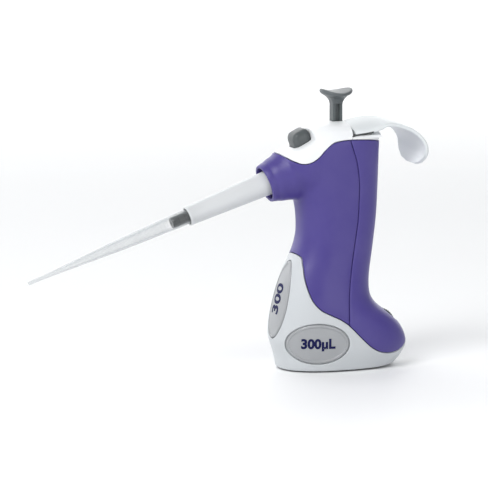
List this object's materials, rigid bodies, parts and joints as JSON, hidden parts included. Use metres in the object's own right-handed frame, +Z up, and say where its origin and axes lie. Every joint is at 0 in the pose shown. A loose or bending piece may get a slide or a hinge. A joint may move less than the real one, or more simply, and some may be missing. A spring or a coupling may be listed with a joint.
{
  "type": "pipette set",
  "caption": "Self-standing boot-shaped pipette with a slanted nozzle and clear tip, a saddle plunger, an ejector knob and a hooked finger rest.",
  "frame": {"origin": "centre of the foot pad's underside, on the surface the pipette stands on", "axes": "-X forward along the nozzle side, +X to the heel and hook, +Z up; symmetric about y = 0"},
  "size_m": [0.1871, 0.0404, 0.1269],
  "materials": {
    "purple_shell": "satin moulded",
    "violet_shell": "satin moulded",
    "white_plastic": "satin moulded",
    "base_plastic": "fine moulded grain",
    "silver_plate": "brushed and lacquered",
    "charcoal_plastic": "fine matt grain",
    "grey_plastic": "fine matt grain",
    "acetal": "as moulded",
    "steel": "ground",
    "rubber": "matt",
    "clear_tip": "clear polypropylene"
  },
  "bodies": {
    "body": {"grip_shell": "purple_shell", "rear_cover": "violet_shell", "top_cap": "white_plastic", "base_skirt": "base_plastic", "front_plate": "silver_plate", "volume_plate_left": "silver_plate", "volume_plate_right": "silver_plate", "nozzle_cone": "charcoal_plastic", "nozzle_barrel": "grey_plastic", "chassis_left": "grey_plastic", "chassis_right": "grey_plastic", "spring_seat": "acetal", "chassis_spacer_1": "acetal", "chassis_spacer_2": "acetal", "chassis_spacer_3": "acetal", "chassis_spacer_4": "acetal", "ballast_weight": "steel", "plunger_spring": "steel", "rocker_pin": "steel", "ejector_spring": "steel", "wheel_axle": "steel", "foot_screw_1": "steel", "foot_screw_2": "steel", "foot_screw_3": "steel", "foot_screw_4": "steel", "chassis_screw_1": "steel", "chassis_screw_2": "steel", "chassis_screw_3": "steel", "chassis_screw_4": "steel", "foot_pad": "rubber", "piston_seal": "rubber"},
    "plunger": {"thumb_pad": "grey_plastic", "plunger_stem": "charcoal_plastic", "plunger_rod": "steel"},
    "rocker": {"rocker_lever": "acetal"},
    "piston": {"piston_yoke": "acetal", "piston_rod": "steel"},
    "ejector_button": {"ejector_knob": "charcoal_plastic"},
    "sleeve": {"ejector_sleeve": "white_plastic", "ejector_bar": "acetal"},
    "tip": {"pipette_tip": "clear_tip"},
    "hook": {"finger_hook": "white_plastic"},
    "wheel": {"volume_wheel": "charcoal_plastic"},
    "screw": {"lead_screw": "acetal"},
    "nut": {"stop_nut": "acetal"}
  },
  "joints": [
    {"name": "plunger_press", "type": "slide", "parent": "body", "child": "plunger", "axis": [0, 0, -1], "range_m": [0, 0.0076], "stiffness_N_per_m": 400, "springref_m": -0.003, "deforming": ["plunger_spring"]},
    {"name": "rocker_swing", "type": "hinge", "parent": "body", "child": "rocker", "pos_m": [0.0124, 0, 0.0886], "axis": [0, -1, 0], "range_deg": [0, 36.09]},
    {"name": "piston_stroke", "type": "slide", "parent": "body", "child": "piston", "axis": [-0.9444, 0, -0.3289], "range_m": [0, 0.00761]},
    {"name": "sleeve_push", "type": "slide", "parent": "body", "child": "sleeve", "axis": [-0.9444, 0, -0.3289], "range_m": [0, 0.003], "stiffness_N_per_m": 400, "springref_m": -0.003, "deforming": ["ejector_spring"]},
    {"name": "ejector_press", "type": "slide", "parent": "body", "child": "ejector_button", "axis": [0.3289, 0, -0.9444], "range_m": [0, 0.00301]},
    {"name": "tip_pull", "type": "slide", "parent": "sleeve", "child": "tip", "axis": [-0.9444, 0, -0.3289], "range_m": [0, 0.015]},
    {"name": "hook_slide", "type": "slide", "parent": "body", "child": "hook", "axis": [1, 0, 0], "range_m": [0, 0.005]},
    {"name": "wheel_turn", "type": "hinge", "parent": "body", "child": "wheel", "pos_m": [0.0195, 0, 0.0173], "axis": [0, 1, 0], "range_deg": [0, 330.5]},
    {"name": "screw_turn", "type": "hinge", "parent": "body", "child": "screw", "pos_m": [0.0066, 0, 0.0169], "axis": [0, 0, 1], "range_deg": [0, 661]},
    {"name": "nut_lift", "type": "slide", "parent": "body", "child": "nut", "axis": [0, 0, 1], "range_m": [0, 0.007]}
  ],
  "couplings": [
    {"joint": "rocker_swing", "follows": "plunger_press", "rad_per_m": 81.964},
    {"joint": "piston_stroke", "follows": "plunger_press", "ratio": 1},
    {"joint": "ejector_press", "follows": "sleeve_push", "ratio": 1},
    {"joint": "wheel_turn", "follows": "nut_lift", "rad_per_m": 822.8},
    {"joint": "screw_turn", "follows": "nut_lift", "rad_per_m": 1645.6}
  ]
}
